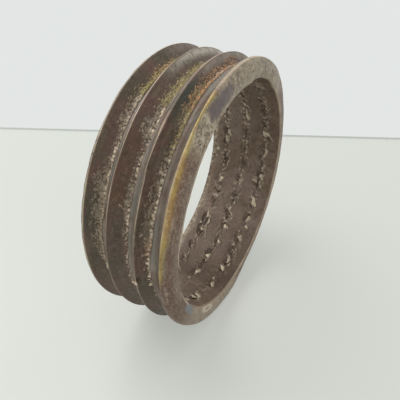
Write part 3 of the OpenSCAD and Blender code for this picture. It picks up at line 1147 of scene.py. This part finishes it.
# %% Finish of the seams
seam_skin = old_bronze("granular_seam_bronze", "#453b31", {
    "cluster": (3.0, 0.4, 0.62, 0.7), "cloud": CLOUD, "stain": STAIN}, [
    ("grain", "#8a7663"),
    ("grain x cluster", "#9f8e7b"),
    ("smear", "#7f7464"),
    ("grain x pale", "#c9b6a1"),
    ("beads", "#dcc8b0"),
    ("olive", "#6c6045"),
    ("olive x grain", "#9a8950"),
    ("copper", "#86654d"),
    ("copper x grain", "#d09a6c"),
    ("bare", BROWN),
    ("bare x cloud", BROWN_RUDDY),
    # the fillet wears the far flank's grey film and painted sheen
    ("fillet", FILM_SHEEN_WARM),
    ("fillet x cloud", FILM_SHEEN_COOL),
    ("fillet x stain", FILM_SHEEN_BROWN),
], roughness=(0.45, 0.55), grain_mm=0.8)

# %% [markdown]
# ## Skin of the dabs
#
# Pressed lumps keep a dark skin round their foot. Their tops were rubbed by the arm, some to dull brown
# and some to a pale cream.

# %% Finish of the dabs
dab_skin = old_bronze("pressed_dab_bronze", "#493d34", {"mottle": (1.2, 0.4, 0.6, 0.6)}, [
    ("top", "#736355"),
    ("top x mottle", "#8c7c6b"),
    ("top x pale", "#c4b49b"),
], roughness=(0.4, 0.5), grain_mm=0.6)

# %% [markdown]
# ## Dressing the pieces
#
# Every piece gets its finish, rides on the one body that the ring has, and takes the place of the CAD
# node that it was made for.

# %% Dress the pieces
for piece, node, material, slot in (
    (far_rim_hoop, "far_rim_hoop", rim_bronze, "rim_bronze"),
    (far_middle_hoop, "far_middle_hoop", middle_bronze, "dark_bronze"),
    (near_middle_hoop, "near_middle_hoop", middle_bronze, "dark_bronze"),
    (near_rim_hoop, "near_rim_hoop", rim_bronze, "rim_bronze"),
    (far_seam, "far_seam", seam_skin, "seam_bronze"),
    (middle_seam, "middle_seam", seam_skin, "seam_bronze"),
    (near_seam, "near_seam", seam_skin, "seam_bronze"),
    (far_inner_dabs, "far_inner_dabs", dab_skin, "dab_bronze"),
    (middle_inner_dabs, "middle_inner_dabs", dab_skin, "dab_bronze"),
    (near_inner_dabs, "near_inner_dabs", dab_skin, "dab_bronze"),
):
    piece.data.materials.append(material)
    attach(piece, "root")
    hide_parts(node)
print("dressed", len(hoops) + len(seams) + len(dab_rows), "pieces")

# %% [markdown]
# ## The camera
#
# The camera stands where the real one did: its place, heading and dip were worked out from the
# circles that the crests and the opening make in the picture.

# %% Camera
FRAME_PIXELS = 400
FOCAL_PIXELS = 442.83
SENSOR = 36.0
CAMERA_PLACE = (0.06754, -0.12245, 0.14567)
CAMERA_HEADING, CAMERA_DIP = 28.94, 36.36

lens = bpy.data.cameras.new("camera")
lens.sensor_fit = "HORIZONTAL"
lens.sensor_width = SENSOR
lens.lens = SENSOR * FOCAL_PIXELS / FRAME_PIXELS
lens.clip_start = 0.01
camera = add_object("camera", lens)
camera.location = CAMERA_PLACE
camera.rotation_euler = (math.radians(90 - CAMERA_DIP), 0, math.radians(CAMERA_HEADING))
bpy.context.scene.camera = camera
print("focal length", round(lens.lens, 1), "mm")

# %% [markdown]
# ## The table
#
# The ring stands on a pale table with a pale wall behind it, and a thin grey strip between the two is a
# painted shadow line where they meet. One quad each is enough for the table and the shadow line.

# %% Table and painted shadow line
TABLE_SIDE, TABLE_BACK, BACK_TURN = 6.0, 0.135, -3.2
SHADOW_LINE_HEIGHT = 0.0013
heading = math.radians(CAMERA_HEADING + BACK_TURN)
away = np.array([-math.sin(heading), math.cos(heading)])
aside = np.array([math.cos(heading), math.sin(heading)])
back_left, back_right = (away * TABLE_BACK + aside * side for side in (-TABLE_SIDE, TABLE_SIDE))
front_left, front_right = (corner - away * TABLE_SIDE for corner in (back_left, back_right))


def make_quad(name, corners):
    """One face with four corners."""
    mesh = bpy.data.meshes.new(name)
    mesh.from_pydata(corners, [], [(0, 1, 2, 3)])
    return add_object(name, mesh)


table = make_quad("table", [(*c, 0.0) for c in (back_left, front_left, front_right, back_right)])
wall_joint = make_quad("wall_joint", [(*back_left, 0.0), (*back_right, 0.0),
                                      (*back_right, SHADOW_LINE_HEIGHT), (*back_left, SHADOW_LINE_HEIGHT)])
print("table edge", TABLE_BACK, "m behind the ring")

# %% [markdown]
# ## Stone and painted shadow line
#
# The room round the real table was so bright that shadows hardly darken it. So for the eye, and for
# mirror-like rays, part of the honed stone's colour is its own glow, and the rest takes light and
# shadow as usual. The shadow line is a plain, dull grey, painted shadow.

# %% Finish of the stage
TABLE_COLOUR, GLOW_COLOUR, GLOW_SHARE = "#d9dbd5", "#d6d8d2", 0.5
# grey of the painted shadow line where table and wall meet
SHADOW_LINE_COLOUR = "#dcdfdc"
STONE_ROUGHNESS, SHADOW_LINE_ROUGHNESS = 0.35, 0.8

stone = bpy.data.materials.new("pale_honed_stone")
stone.use_nodes = True
tree = stone.node_tree
tree.nodes.clear()
honed = add_node(tree, "ShaderNodeBsdfPrincipled", {
    "Base Color": to_linear(TABLE_COLOUR), "Roughness": STONE_ROUGHNESS})
glow = add_node(tree, "ShaderNodeEmission", {"Color": to_linear(GLOW_COLOUR)})
rays = add_node(tree, "ShaderNodeLightPath").outputs
seen = add_node(tree, "ShaderNodeMath", {
    0: rays["Is Camera Ray"], 1: rays["Is Glossy Ray"]}, operation="ADD")
seen = add_node(tree, "ShaderNodeMath", {
    0: seen.outputs[0], 1: rays["Is Transmission Ray"]}, operation="ADD", use_clamp=True)
share = add_node(tree, "ShaderNodeMath", {0: seen.outputs[0], 1: GLOW_SHARE}, operation="MULTIPLY")
both = add_node(tree, "ShaderNodeMixShader", {
    0: share.outputs[0], 1: honed.outputs[0], 2: glow.outputs[0]})
add_node(tree, "ShaderNodeOutputMaterial", {"Surface": both.outputs[0]})
table.data.materials.append(stone)

shadow_line_finish = bpy.data.materials.new("grey_joint_filler")
shadow_line_finish.use_nodes = True
dull = shadow_line_finish.node_tree.nodes["Principled BSDF"].inputs
dull["Base Color"].default_value = to_linear(SHADOW_LINE_COLOUR)
dull["Roughness"].default_value = SHADOW_LINE_ROUGHNESS
wall_joint.data.materials.append(shadow_line_finish)
print("stage finishes:", stone.name, shadow_line_finish.name)

# %% [markdown]
# ## The light
#
# Daylight from a bright room comes from everywhere, with a little more from above. The world gives the
# even part and is also the pale wall; one large soft lamp above on the left gives the rest.

# %% Lamp and room
LAMP_SIZE, LAMP_ENERGY, LAMP_PLACE = 0.7, 3.2, (-0.45, 0.05, 0.68)
WALL_COLOUR, ROOM_LEVEL = "#e3e6e4", 1.0

lamp = bpy.data.lights.new("overhead", "AREA")
lamp.shape = "DISK"
lamp.size = LAMP_SIZE
lamp.energy = LAMP_ENERGY
lamp_object = add_object("overhead", lamp)
lamp_object.location = LAMP_PLACE
lamp_object.rotation_euler = (-Vector(LAMP_PLACE)).to_track_quat("-Z", "Y").to_euler()

world = bpy.data.worlds.new("room")
world.use_nodes = True
bpy.context.scene.world = world
sky = world.node_tree.nodes["Background"]
sky.inputs["Color"].default_value = to_linear(WALL_COLOUR)
sky.inputs["Strength"].default_value = ROOM_LEVEL
bpy.context.scene.view_settings.view_transform = "Standard"
print("room level", ROOM_LEVEL)
